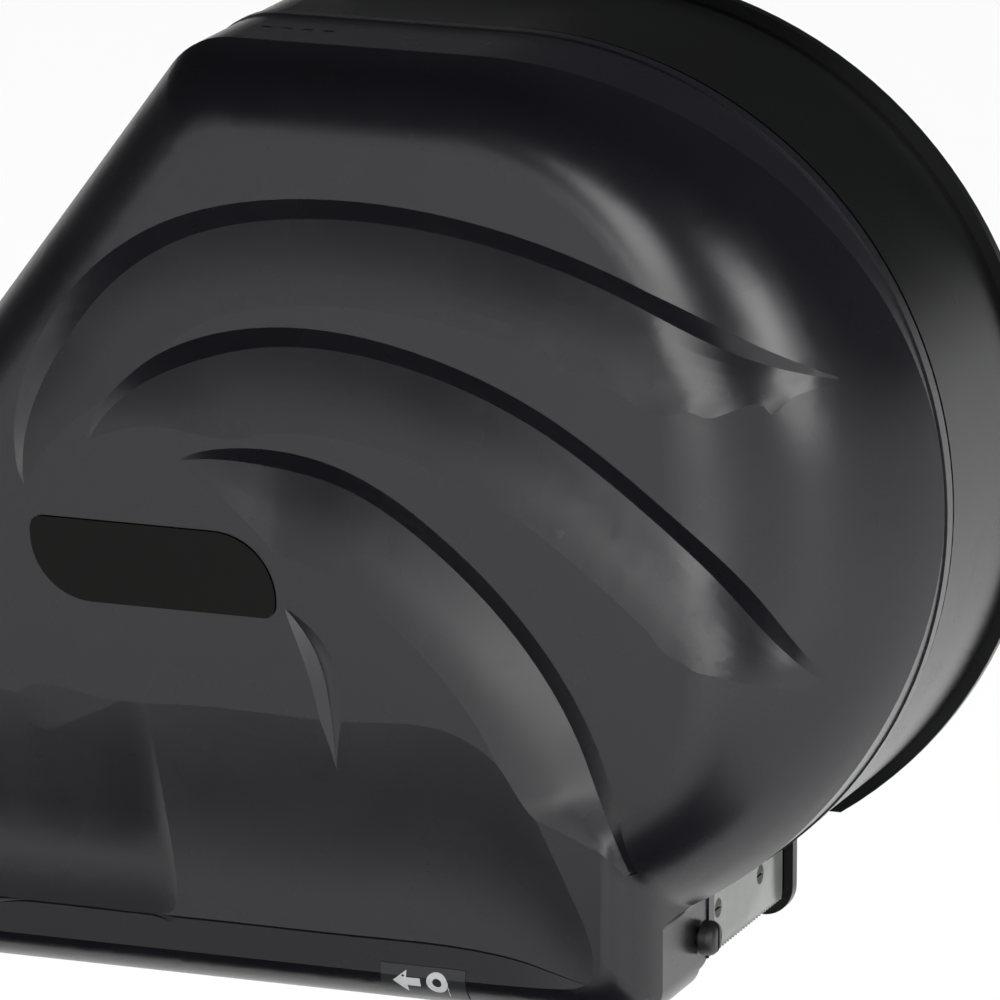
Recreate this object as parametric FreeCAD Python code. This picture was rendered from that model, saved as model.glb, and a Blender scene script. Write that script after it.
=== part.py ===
import FreeCAD, Part
import math
import os
from FreeCAD import Vector

# Two-roll toilet paper dispenser for a wall. Millimetres throughout.
# X runs to the right, Y runs into the wall (the wall is Y = 0) and Z runs up.
# The main roll turns about the Y axis, in the middle of the four wall screws.

# Outline of the case, seen from the front
shell_radius = 142.0
slope_top_x = -91.0
shoulder_z = 10.0
left_x = -188.0
foot_x = 65.0
foot_drop = 16.0
top_corner_radius = 24.0
shoulder_radius = 40.0
left_corner_radius = 12.0
foot_corner_radius = 10.0
crease_radius = 4.0
least_corner_radius = 3.0

# Depths
case_depth = 145.0
housing_depth = 78.0
seam_gap = 3.0

# Walls
housing_wall = 3.0
back_wall = 3.0
cover_wall = 2.6
rim_width = 4.0
rim_thickness = 4.0
lip_thickness = 2.2
lip_reach = 3.0
lip_root = 8.0
lip_low_z = -30.0
bead_width = 5.0
bead_height = 0.6

# Rounding of the cover's front: how far it reaches in from a side, and how far back it runs there
right_in, right_back = 70.0, 58.0
low_in, low_back = 36.0, 34.0
top_in, top_back = 26.0, 22.0
slope_in, slope_back = 24.0, 22.0
left_in, left_back = 24.0, 22.0
bottom_in, bottom_back = 14.0, 15.0
foot_in, foot_back = 14.0, 18.0
edge_turn = 26.0
top_angle, right_angle, low_angle = 90.0, 5.0, -60.0
nose_steps = 11
round_points = 21

# Swept steps in the cover
drawn_radius = 142.0
drawn_left = 188.0
step_width = 7.2
step_depth = 4.6
step_ramp = 36.0
fade_in, fade_out = 0.22, 0.15
groove_width = 3.6
groove_depth = 1.5
groove_ramp = 6.0
groove_radius = 100.0
groove_rise = 12.0
chin_rise = 11.0
chin_height = 11.0
chin_depth = 2.3
chin_ledge = 0.5
scoop_depth = 1.0
scoop_height = 75.0
bowl_depth = 2.0
bowl_height = 78.0

# Clearances
running_fit = 0.06
press_fit = 0.02
slide_gap = 0.3
clear_gap = 0.4
side_gap = 0.8

# Wall screws
screw_spacing_x = 160.0
screw_spacing_z = 150.0
screw_hole_radius = 2.8
screw_pad_radius = 9.0
screw_pad_height = 2.0

# Stiffening ribs of the back wall
rib_thickness = 2.5
rib_height = 4.5
rib_ring_radius = 88.0

# Hinge of the cover
hinge_ahead = 11.0
hinge_rise = 18.0
pin_radius = 3.0
pin_head_radius = 5.5
pin_head_length = 5.0
pin_slit = 1.6
lug_radius = 10.5
lug_room = 8.0

# Throat frame, sliding door and tear bars
bar_thickness = 2.8
bar_top_gap = 1.5
bar_tip_rise = 6.0
bar_setback = 7.0
bar_screw_back = 23.0
bar_screw_front = 15.0
tooth_pitch = 2.5
tooth_depth = 1.6
frame_setback = 11.0
frame_rise = 9.0
frame_height = 15.0
frame_deck = 8.1
frame_side = 6.0
frame_rail = 6.0
divider_x = -80.0
divider_width = 8.0
door_thickness = 2.6
door_groove = 3.0
grip_width = 10.0
grip_drop = 9.5
grip_length = 90.0
tab_width = 16.0
tab_height = 12.0
tab_thickness = 3.0

# Small screws
screw_radius = 1.6
screw_head_radius = 3.2
screw_head_height = 2.2
screw_bite = 2.2

# Spindles: main roll and stub roll
stub_from_left = 48.0
stub_from_bottom = 62.0
post_setback = 30.0
post_flange = 4.0
main_post_radius = 10.0
main_flange_radius = 34.0
main_sleeve_wall = 4.0
main_disc_radius = 50.0
main_fin_radius = 36.0
stub_post_radius = 7.0
stub_flange_radius = 24.0
stub_sleeve_wall = 3.0
stub_disc_radius = 30.0
stub_fin_radius = 19.0
hub_disc = 3.0
hub_gap = 2.5
fin_thickness = 3.0
fin_setback = 15.0
fin_taper = 16.0
shoulder_width = 3.0
shoulder_length = 2.0
clip_setback = 3.0
clip_thickness = 1.2
clip_groove = 1.2
clip_width = 4.0
cap_wall = 2.2
cap_gap = 2.0

# Lock
lock_from_slope = 27.0
lock_width = 28.0
lock_wall = 2.5
lock_behind = 5.0
lock_length = 23.0
lock_drop = 13.0
lock_height = 19.0
lock_flange_gap = 2.0
lock_flange_length = 34.0
lock_flange = 6.0
lock_neck = 14.0
lock_neck_inset = 4.0
lock_neck_lap = 8.0
lock_screw_inset = 8.0
lock_screw_pitch = 12.0
keeper_width = 2.5
keeper_height = 1.4
keeper_gap = 3.0
latch_height = 6.0
latch_travel = 5.0
tooth_thickness = 3.8
tooth_height = 7.0
strike_gap = 0.9
strike_thickness = 3.0
strike_flange = 2.5
strike_behind = 5.0
hook_gap = 1.0
key_slots = 4
key_pitch = 6.8
key_length = 3.4
key_width = 1.8
spring_radius = 4.0
spring_wire = 0.8
spring_turns = 2

# Plates on the cover
badge_x = -97.0
badge_z = -22.5
badge_width = 82.0
badge_height = 26.0
badge_large_radius = 21.0
badge_small_radius = 4.0
badge_proud = 0.8
badge_sunk = 1.0
plate_gap = 0.25
sign_x = -7.5
sign_width = 28.0
sign_rise = 5.0
sign_height = 10.5
sign_proud = 0.5

# Derived values
front_y = -case_depth
bottom_z = -(shell_radius + foot_drop)
chin_z = bottom_z + chin_rise
stub_x = left_x + stub_from_left
stub_z = bottom_z + stub_from_bottom
cover_rear_y = -(housing_depth + seam_gap)
back_in = -back_wall
hinge_y = cover_rear_y - hinge_ahead
hinge_z = bottom_z + hinge_rise
cover_top_in = shell_radius - cover_wall
housing_top_in = shell_radius - housing_wall
bar_right_x = foot_x - cover_wall - side_gap
bar_left_x = left_x + cover_wall + side_gap
frame_right_x = bar_right_x - bar_thickness
frame_left_x = bar_left_x + bar_thickness
bar_top_z = -math.sqrt(shell_radius ** 2 - bar_right_x ** 2) - bar_top_gap
bar_tip_z = bottom_z + bar_tip_rise
frame_front_y = front_y + frame_setback
frame_bottom_z = bottom_z + frame_rise
frame_top_z = frame_bottom_z + frame_height
bar_front_y = frame_front_y + bar_setback
groove_top_z = frame_top_z - frame_deck
door_top_z = groove_top_z - slide_gap
door_bottom_z = door_top_z - door_thickness
grip_bottom_z = door_bottom_z - grip_drop
groove_bottom_z = door_bottom_z - slide_gap
mouth_right_x = frame_right_x - frame_side
mouth_left_x = frame_left_x + frame_side
mouth_front_y = frame_front_y + frame_rail
mouth_back_y = back_in - 2 * frame_rail
door_left_x = divider_x
door_right_x = mouth_right_x - clear_gap
post_end_y = front_y + post_setback
fin_front_y = post_end_y + fin_setback
lock_x = slope_top_x + lock_from_slope
lock_back_y = cover_rear_y - lock_behind
lock_front_y = lock_back_y - lock_length
lock_top_z = housing_top_in - lock_drop
lock_floor_z = lock_top_z - lock_height
lock_flange_low_z = housing_top_in - lock_flange
lock_flange_front_y = -housing_depth + lip_root + lock_flange_gap
lock_flange_back_y = lock_flange_front_y + lock_flange_length
strike_back_y = cover_rear_y - strike_behind


def box(x0, x1, y0, y1, z0, z1):
    """Box between the given limits."""
    return Part.makeBox(x1 - x0, y1 - y0, z1 - z0, Vector(x0, y0, z0))


def rod(x, z, y_back, y_front, radius):
    """Cylinder along Y between two depths."""
    return Part.makeCylinder(radius, y_back - y_front, Vector(x, y_front, z), Vector(0, 1, 0))


def joined(first, others):
    """One solid from a solid and those that touch it."""
    return first.multiFuse(others).removeSplitter()


def rounded(before, corner, after, radius):
    """Start, middle and end of the arc that rounds a corner."""
    back = (before - corner).normalize()
    ahead = (after - corner).normalize()
    half = back.getAngle(ahead) / 2
    reach = radius / math.tan(half)
    middle_way = (back + ahead).normalize()
    centre = corner + middle_way * (radius / math.sin(half))
    return corner + back * reach, centre - middle_way * radius, corner + ahead * reach


def outline(y, inset, round_inset=None):
    """Closed outline of the case at one depth, drawn in from its five sides.

    The round side may draw in by a different amount at each angle.
    """
    by_round, by_slope, by_left, by_bottom, by_foot = inset
    by_top = by_round
    if round_inset:
        by_top = round_inset(top_angle)
    radius = shell_radius - by_round
    top = shell_radius - by_top
    left = left_x + by_left
    foot = foot_x - by_foot
    bottom = bottom_z + by_bottom
    slope_way = Vector(left_x - slope_top_x, 0, shoulder_z - shell_radius).normalize()
    slope_start = Vector(slope_top_x, 0, shell_radius) + Vector(-slope_way.z, 0, slope_way.x) * by_slope
    top_corner = slope_start + slope_way * ((top - slope_start.z) / slope_way.z)
    shoulder = slope_start + slope_way * ((left - slope_start.x) / slope_way.x)
    left_corner = Vector(left, 0, bottom)
    foot_corner = Vector(foot, 0, bottom)
    crease = max(crease_radius + min(by_round, by_foot), 1.0)
    crease_x = foot + crease
    crease_z = -math.sqrt((radius + crease) ** 2 - crease_x ** 2)
    centre = Vector(crease_x, 0, crease_z)
    crease_start = Vector(foot, 0, crease_z)
    crease_end = centre * (radius / (radius + crease))
    inward = ((crease_start - centre) + (crease_end - centre)).normalize()
    crease_middle = centre + inward * crease
    crown = Vector(0, 0, top)
    end_angle = math.atan2(crease_end.z, crease_end.x)
    middle_angle = (end_angle + math.pi / 2) / 2
    round_middle = Vector(radius * math.cos(middle_angle), 0, radius * math.sin(middle_angle))

    def corner_size(size, first, second):
        if round_inset:
            return size
        return max(size - min(first, second), least_corner_radius)

    top_arc = rounded(crown, top_corner, shoulder, corner_size(top_corner_radius, by_top, by_slope))
    side_arc = rounded(top_corner, shoulder, left_corner, corner_size(shoulder_radius, by_slope, by_left))
    left_arc = rounded(shoulder, left_corner, foot_corner, corner_size(left_corner_radius, by_left, by_bottom))
    foot_arc = rounded(left_corner, foot_corner, crease_start, corner_size(foot_corner_radius, by_bottom, by_foot))
    round_side = ("arc", crease_end, round_middle, crown)
    if round_inset:
        round_side = ("curve",)
        low = math.degrees(end_angle)
        for index in range(round_points):
            share = (1 - math.cos(math.pi * index / (round_points - 1))) / 2
            angle = low + (top_angle - low) * share
            reach = shell_radius - round_inset(angle)
            turn = math.radians(angle)
            round_side += (Vector(reach * math.cos(turn), 0, reach * math.sin(turn)),)
        round_side = ("curve", crease_end) + round_side[2:-1] + (crown,)
    pieces = [
        ("line", foot_arc[2], crease_start),
        ("arc", crease_start, crease_middle, crease_end),
        round_side,
        ("line", crown, top_arc[0]),
        ("arc",) + top_arc,
        ("line", top_arc[2], side_arc[0]),
        ("arc",) + side_arc,
        ("line", side_arc[2], left_arc[0]),
        ("arc",) + left_arc,
        ("line", left_arc[2], foot_arc[0]),
        ("arc",) + foot_arc,
    ]
    depth = Vector(0, y, 0)
    edges = []
    for piece in pieces:
        points = [point + depth for point in piece[1:]]
        if piece[0] == "line":
            edges.append(Part.LineSegment(points[0], points[1]).toShape())
        elif piece[0] == "curve":
            curve = Part.BSplineCurve()
            curve.interpolate(points)
            edges.append(curve.toShape())
        else:
            edges.append(Part.Arc(points[0], points[1], points[2]).toShape())
    return Part.Wire(edges)


def even(inset):
    """The same inset on all five sides."""
    return (inset, inset, inset, inset, inset)


def slab(inset, y_back, y_front):
    """Solid of the outline between two depths."""
    return Part.Face(outline(y_front, even(inset))).extrude(Vector(0, y_back - y_front, 0))


def inset_at(y, reach, back, wall):
    """How far the rounded front has come in from one side at a depth; behind the edge it runs on straight."""
    start = math.sin(math.radians(edge_turn))
    forward = (front_y + back - y) / (back - wall)
    if forward < 0:
        return wall + (reach - wall) * forward * start / (1 + start)
    rise = start + min(forward, 1.0) * (1 - start)
    return wall + (reach - wall) * (1 - math.sqrt(1 - rise * rise) / math.sqrt(1 - start * start))


def depth_at(distance, reach, back):
    """How far the rounded front lies behind its flat middle, at a distance from one side."""
    start = math.sin(math.radians(edge_turn))
    share = min(distance / reach, 1.0)
    if share < 0:
        return back * (1 - share * (1 + start) / start)
    turned = (1 - start * start) * (1 - share) ** 2
    return back * (1 - (math.sqrt(1 - turned) - start) / (1 - start))


def round_size(angle):
    """Reach and depth of the rounding at an angle on the round side: deepest at the right."""
    far, end_in, end_back = top_angle, top_in, top_back
    if angle < right_angle:
        far, end_in, end_back = low_angle, low_in, low_back
    share = min((angle - right_angle) / (far - right_angle), 1.0)
    share = share * share * (3 - 2 * share)
    return right_in + (end_in - right_in) * share, right_back + (end_back - right_back) * share


def cover_form(wall):
    """Solid form of the cover, drawn in by a wall: straight sides, cut by the rounded front."""
    back_y = (cover_rear_y + front_y + right_back) / 2
    wires = []
    for index in range(nose_steps + 1):
        share = (1 - index / nose_steps) ** 1.8
        y = front_y + wall + (back_y - front_y - wall) * share

        def round_inset(angle):
            return inset_at(y, *round_size(angle), wall)

        insets = [round_inset(low_angle)]
        for reach, back in (
            (slope_in, slope_back), (left_in, left_back), (bottom_in, bottom_back), (foot_in, foot_back),
        ):
            insets.append(inset_at(y, reach, back, wall))
        wires.append(outline(y, insets, round_inset))
    nose = Part.makeLoft(wires, True, False)
    front = slab(wall, back_y, front_y - 1).common(nose)
    return slab(wall, cover_rear_y, back_y).fuse(front).removeSplitter()


def surface_y(x, z):
    """Depth of the cover's front at one place."""
    slope_way = Vector(left_x - slope_top_x, 0, shoulder_z - shell_radius).normalize()
    from_slope = (x - slope_top_x) * -slope_way.z + (z - shell_radius) * slope_way.x
    by_round = depth_at(shell_radius - z, top_in, top_back)
    if x > 0:
        angle = math.degrees(math.atan2(z, x))
        by_round = depth_at(shell_radius - math.hypot(x, z), *round_size(angle))
    if x > 0 and z < 0:
        by_round = min(by_round, depth_at(foot_x - x, foot_in, foot_back))
    return front_y + max(
        by_round, depth_at(from_slope, slope_in, slope_back),
        depth_at(x - left_x, left_in, left_back), depth_at(z - bottom_z, bottom_in, bottom_back),
    )


def flat_y(x, z):
    """Depth of the flat middle of the front, at any place."""
    return front_y


def swept_cut(points, profile, sections, surface):
    """Cutter for a step: a profile carried along a path, on its right-hand side, fading at both ends."""
    path = Part.BSplineCurve()
    path.interpolate([Vector(x, 0, z) for x, z in points])
    over = 8.0
    clear = 0.35
    wires = []
    for index in range(sections + 1):
        share = (1 - math.cos(math.pi * index / sections)) / 2
        at = path.FirstParameter + (path.LastParameter - path.FirstParameter) * share
        place = path.value(at)
        way = path.tangent(at)[0]
        side = Vector(way.z, 0, -way.x)
        swell = min(share / fade_in, (1 - share) / fade_out, 1.0)
        swell = swell * swell * (3 - 2 * swell)
        edges = []
        for part in profile:
            line = []
            for reach, sink in part:
                point = place + side * (reach * (0.3 + 0.7 * swell))
                low = (sink + clear) * swell - clear
                line.append(Vector(point.x, surface(point.x, point.z) + low, point.z))
            if not edges:
                start = line[0]
            curve = Part.BSplineCurve()
            curve.interpolate(line)
            edges.append(curve.toShape())
        lift = Vector(0, -over, 0)
        edges += Part.makePolygon([line[-1], line[-1] + lift, start + lift, start]).Edges
        wires.append(Part.Wire(edges))
    return Part.makeLoft(wires, True, False)


def step_profile(width, depth, ramp):
    """A flat cliff from a sharp crest to a sharp foot, then a ramp that rises and fades."""
    cliff = [(-0.1 * width, -0.1 * depth), (0.45 * width, 0.45 * depth), (width, depth)]
    rise = []
    for index in range(10):
        share = index / 9
        rise.append((share, 1.08 * (1 - share) ** 2 - 0.08))
    return [cliff, [(width + ramp * reach, depth * sink) for reach, sink in rise]]


def chin_profile(extra, height):
    """The chin leans out below a ledge; above the ledge the front is scooped out and fades."""
    top = chin_height
    deep = chin_depth + chin_ledge
    far = top * 2.2
    face = [(-1.0, -0.25), (top * 0.5, chin_depth * 0.5), (top, chin_depth)]
    ledge = [(top, chin_depth), (top + 0.5 * chin_ledge, deep - 0.5 * chin_ledge), (top + chin_ledge, deep)]
    scoop = [
        (top + chin_ledge, deep), (top * 1.5, deep + 0.5 * extra), (far, deep + extra),
        (far + height * 0.25, deep + 0.7 * extra), (far + height * 0.6, 0.35 * deep), (far + height, -0.2),
    ]
    return [face, ledge, scoop]


def chin_cut():
    """Cutter for the chin line, from the foot to the left side."""
    line = [(foot_x - foot_in / 2, chin_z), (divider_x, chin_z), (left_x + left_in / 2, chin_z)]
    return swept_cut(line, chin_profile(scoop_depth, scoop_height), 12, flat_y)


def front_cuts():
    """The swept steps of the cover: three waves, the groove round the stub roll and the chin line."""
    first = [
        (-138, -13), (-144, 11), (-133, 50), (-97, 85), (-47, 98), (2, 96), (50, 84), (82, 70), (106, 57), (126, 49),
    ]
    second = [(-124, 6), (-104, 39), (-64, 56), (-15, 54), (34, 36), (67, 14), (99, -15), (118, -42), (125, -50)]
    third = [(-96, 12), (-68, 18), (-34, 14), (-2, -4), (28, -32), (50, -67), (58, -92), (61, -107)]
    grown = shell_radius / drawn_radius
    spread = -left_x / drawn_left
    first, second, third = [
        [(x * (grown if x > 0 else spread), z * grown) for x, z in points]
        for points in (first, second, third)
    ]
    groove = []
    for degrees in (34, 20, 6, -8, -22, -36):
        angle = math.radians(degrees)
        groove.append((stub_x + groove_radius * math.cos(angle), stub_z + groove_rise + groove_radius * math.sin(angle)))
    groove.reverse()
    bowl = [(divider_x, chin_z), (stub_x, chin_z), (left_x + left_in / 2, chin_z)]
    step = step_profile(step_width, step_depth, step_ramp)
    return [
        swept_cut(first, step, 44, surface_y),
        swept_cut(second, step, 36, surface_y),
        swept_cut(third, step, 30, surface_y),
        swept_cut(groove, step_profile(groove_width, groove_depth, groove_ramp), 8, flat_y),
        chin_cut(),
        swept_cut(bowl, chin_profile(scoop_depth + bowl_depth, bowl_height), 10, flat_y),
    ]


def leaf(grow, y_back, y_front):
    """Badge form: two large and two small rounded corners."""
    x0, x1 = badge_x - badge_width / 2 - grow, badge_x + badge_width / 2 + grow
    z0, z1 = badge_z - badge_height / 2 - grow, badge_z + badge_height / 2 + grow
    plate = box(x0, x1, y_front, y_back, z0, z1)
    for x, z, size in (
        (x0, z1, badge_small_radius), (x1, z1, badge_large_radius),
        (x1, z0, badge_small_radius), (x0, z0, badge_large_radius),
    ):
        edges = [
            edge for edge in plate.Edges
            if all(abs(v.X - x) < 0.01 and abs(v.Z - z) < 0.01 for v in edge.Vertexes)
        ]
        plate = plate.makeFillet(size + grow, edges)
    return plate


def key_slot_x():
    """Middle of each key slot."""
    first = lock_x - key_pitch * (key_slots - 1) / 2
    return [first + key_pitch * index for index in range(key_slots)]


def front_cover():
    """Moulded cover: hollow, stepped front, open below, key slots in the top."""
    outer = cover_form(0)
    hollow = cover_form(cover_wall)
    for cut in front_cuts():
        outer = outer.cut(cut)
        inside = cut.copy()
        inside.translate(Vector(0, cover_wall, 0))
        hollow = hollow.cut(inside)
    bead = slab(-bead_height, cover_rear_y, cover_rear_y - bead_width)
    shell = outer.fuse(bead).cut(hollow)
    mouth = box(
        left_x + cover_wall, foot_x - cover_wall, frame_front_y - clear_gap, cover_rear_y + 1,
        bottom_z - 1, bottom_z + max(left_corner_radius, foot_corner_radius),
    )
    shell = shell.cut(mouth)
    shell = shell.cut(slab(cover_wall, cover_rear_y + 1, cover_rear_y - bead_width - 1))
    for x in (left_x - 2, foot_x - cover_wall - 2):
        wide = cover_wall + 4
        corner = box(x, x + wide, hinge_y, cover_rear_y + 1, bottom_z - 2, hinge_z)
        lug = Part.makeCylinder(lug_radius, wide, Vector(x, hinge_y, hinge_z), Vector(1, 0, 0))
        shell = shell.cut(corner.cut(lug))
        hole = Part.makeCylinder(pin_radius + running_fit, wide, Vector(x, hinge_y, hinge_z), Vector(1, 0, 0))
        shell = shell.cut(hole)
    slot_y = tooth_front_y() + tooth_thickness / 2
    for x in key_slot_x():
        shell = shell.cut(box(
            x - key_length / 2, x + key_length / 2, slot_y - key_width / 2, slot_y + key_width / 2,
            cover_top_in - 1, shell_radius + 1,
        ))
    shell = shell.cut(leaf(plate_gap, front_y + badge_sunk, front_y - 5))
    for x in strike_screw_x():
        shell = shell.cut(Part.makeCylinder(
            screw_radius + press_fit, cover_wall * 0.6, Vector(x, strike_screw_y(), cover_top_in - 0.01)))
    return shell


def badge_plate():
    """Bare plate in its shallow seat."""
    return leaf(0, front_y + badge_sunk, front_y - badge_proud)


def sign_plate():
    """Thin plate that follows the chin."""
    low = bottom_z + sign_rise
    window = box(
        sign_x - sign_width / 2, sign_x + sign_width / 2, front_y - 3, front_y + bottom_back,
        low, low + sign_height,
    )
    skin = cover_form(0).cut(chin_cut())
    raised = skin.copy()
    raised.translate(Vector(0, -sign_proud, 0))
    return raised.common(window).cut(skin)


def rear_housing():
    """Moulded housing: back wall with rim, side wall, locating lip, ribs and screw holes."""
    shell = slab(0, 0, -housing_depth).cut(slab(housing_wall, back_in, -housing_depth - 1))
    far = 2 * shell_radius
    low_z = hinge_z + lug_radius + lug_room
    low = box(-far, foot_x + bead_height, -far, -rim_thickness, -far, low_z)
    shell = shell.cut(low)
    rim = slab(-rim_width, 0, -rim_thickness).cut(slab(0.5, 1, -rim_thickness - 1))
    rim = rim.cut(box(-far, far, -rim_thickness - 1, 1, -far, low_z))
    floor_y = cover_rear_y + clear_gap
    lip = slab(housing_wall, -housing_depth + lip_root, cover_rear_y - lip_reach)
    lip = lip.cut(slab(housing_wall + lip_thickness, 0, -far))
    lip = lip.cut(box(-far, far, -far, floor_y, -far, lip_low_z))
    lip = lip.cut(low)
    notch = lock_width / 2 + 6
    lip = lip.cut(box(lock_x - notch, lock_x + notch, -far, floor_y, 0, far))
    rib_front = back_in - rib_height
    ring = rod(0, 0, back_in, rib_front, rib_ring_radius)
    ring = ring.cut(rod(0, 0, back_in, rib_front, rib_ring_radius - rib_thickness))
    ring = ring.cut(box(-far, far, rib_front - 1, 0, -far, -screw_spacing_z / 4))
    ribs = [rim, lip, ring]
    half = rib_thickness / 2
    start = main_flange_radius + 2
    ribs.append(box(start, housing_top_in - 0.5, rib_front, back_in, -half, half))
    ribs.append(box(-half, half, rib_front, back_in, start, housing_top_in - 0.5))
    ribs.append(box(left_x + housing_wall, -start, rib_front, back_in, -half, half))
    shell = joined(shell, ribs)
    for x, z in wall_screw_places():
        shell = shell.fuse(rod(x, z, back_in, back_in - screw_pad_height, screw_pad_radius))
    for x, z in wall_screw_places():
        shell = shell.cut(rod(x, z, 1, back_in - screw_pad_height - 1, screw_hole_radius))
    for x, z in main_screw_places() + stub_screw_places() + tab_screw_places():
        shell = shell.cut(rod(x, z, back_in + screw_bite, back_in - 0.01, screw_radius + press_fit))
    for y in lock_screw_y():
        shell = shell.cut(Part.makeCylinder(
            screw_radius + press_fit, screw_bite, Vector(lock_x, y, housing_top_in - 0.01)))
    return shell.removeSplitter()


def wall_screw_places():
    """Middle of each wall screw hole."""
    return [(i * screw_spacing_x / 2, j * screw_spacing_z / 2) for i in (-1, 1) for j in (-1, 1)]


def around(x, z, radius, count, first):
    """Places on a circle."""
    places = []
    for index in range(count):
        angle = math.radians(first + 360.0 * index / count)
        places.append((x + radius * math.cos(angle), z + radius * math.sin(angle)))
    return places


def main_screw_places():
    """Screws in the flange of the main post."""
    return around(0, 0, (main_post_radius + main_flange_radius) / 2, 3, 90)


def stub_screw_places():
    """Screws in the flange of the stub post."""
    return around(stub_x, stub_z, (stub_post_radius + stub_flange_radius) / 2, 3, 90)


def flange_screw(x, z, head_y):
    """Screw along Y: its head seats at head_y and its tip stays inside the back wall."""
    head = rod(x, z, head_y, head_y - screw_head_height, screw_head_radius)
    shank = rod(x, z, back_in + screw_bite - 0.2, head_y, screw_radius)
    slot = box(
        x - screw_head_radius, x + screw_head_radius, head_y - screw_head_height - 1,
        head_y - screw_head_height + 0.8, z - 0.4, z + 0.4,
    )
    return head.fuse(shank).removeSplitter().cut(slot)


def post(x, z, radius, flange_radius, screws):
    """Fixed post of a spindle with its screw flange and ring groove."""
    flange_y = back_in - post_flange
    shape = rod(x, z, back_in, flange_y, flange_radius).fuse(rod(x, z, flange_y, post_end_y, radius))
    shape = shape.removeSplitter()
    front = clip_y()
    groove = rod(x, z, front + clip_thickness + 0.1, front - 0.1, radius + 1)
    groove = groove.cut(rod(x, z, front + clip_thickness + 1, front - 1, radius - clip_groove))
    shape = shape.cut(groove)
    shape = shape.cut(rod(x, z, flange_y, post_end_y - 1, radius * 0.55))
    for px, pz in screws:
        shape = shape.cut(rod(px, pz, back_in, flange_y - 1, screw_radius + 0.2))
    return shape


def clip_y():
    """Front face of the retaining rings."""
    return post_end_y + clip_setback


def hub_front_y():
    """Front end of the turning hubs."""
    return clip_y() + clip_thickness + clear_gap


def hub(x, z, post_radius, sleeve_wall, disc_radius, fin_radius):
    """Turning hub: sleeve, rear disc, four tapered fins and a seat for its cap."""
    back = back_in - post_flange - hub_gap
    sleeve_radius = post_radius + sleeve_wall
    front = hub_front_y()
    shape = rod(x, z, back, front, sleeve_radius)
    disc = rod(x, z, back, back - hub_disc, disc_radius)
    seat_y = front + shoulder_length + cap_gap
    seat = rod(x, z, seat_y, seat_y - shoulder_length, sleeve_radius + shoulder_width)
    half = fin_thickness / 2
    blade = Part.Face(Part.makePolygon([
        Vector(x, back - hub_disc, z), Vector(x + fin_radius, back - hub_disc, z),
        Vector(x + fin_radius, fin_front_y + fin_taper, z),
        Vector(x + sleeve_radius + 1, fin_front_y, z), Vector(x, fin_front_y, z),
        Vector(x, back - hub_disc, z),
    ])).extrude(Vector(0, 0, fin_thickness))
    blade.translate(Vector(0, 0, -half))
    fins = []
    for quarter in range(4):
        fin = blade.copy()
        fin.rotate(Vector(x, 0, z), Vector(0, 1, 0), 45 + 90 * quarter)
        fins.append(fin)
    shape = joined(shape, [disc, seat] + fins)
    return shape.cut(rod(x, z, 1, post_end_y - 1, post_radius + running_fit))


def clip(x, z, post_radius):
    """Split retaining ring in the groove of a post."""
    inner = post_radius - clip_groove + press_fit
    front = clip_y()
    ring = rod(x, z, front + clip_thickness, front, post_radius + clip_width * 0.8)
    ring = ring.cut(rod(x, z, front + clip_thickness + 1, front - 1, inner))
    return ring.cut(box(
        x - post_radius * 0.6, x + post_radius * 0.6, front - 1, front + clip_thickness + 1,
        z - 3 * post_radius, z))


def hub_cap(x, z, post_radius, sleeve_wall):
    """Domed cap that sits on the hub and hides the ring."""
    outer = post_radius + sleeve_wall + shoulder_width
    seat_y = hub_front_y() + cap_gap
    front = post_end_y - cap_gap - cap_wall
    cup = rod(x, z, seat_y, front, outer)
    rim = [
        edge for edge in cup.Edges
        if edge.Length > outer and abs(edge.BoundBox.YMin - front) < 0.01 and abs(edge.BoundBox.YMax - front) < 0.01
    ]
    cup = cup.makeFillet(cap_wall * 1.4, rim)
    return cup.cut(rod(x, z, seat_y + 1, front + cap_wall, outer - cap_wall))


def tab_screw_places():
    """Screws in the four tabs of the throat frame."""
    z = frame_top_z + tab_height / 2
    reach = frame_right_x - frame_left_x
    return [(frame_left_x + reach * share, z) for share in (0.12, 0.36, 0.62, 0.88)]


def bar_screw_y():
    """Depth of the two screws in each tear bar."""
    return [back_in - bar_screw_back, cover_rear_y + bar_screw_front]


def bar_screw_z():
    """Height of the tear bar screws."""
    return (frame_top_z + groove_top_z) / 2


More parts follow.
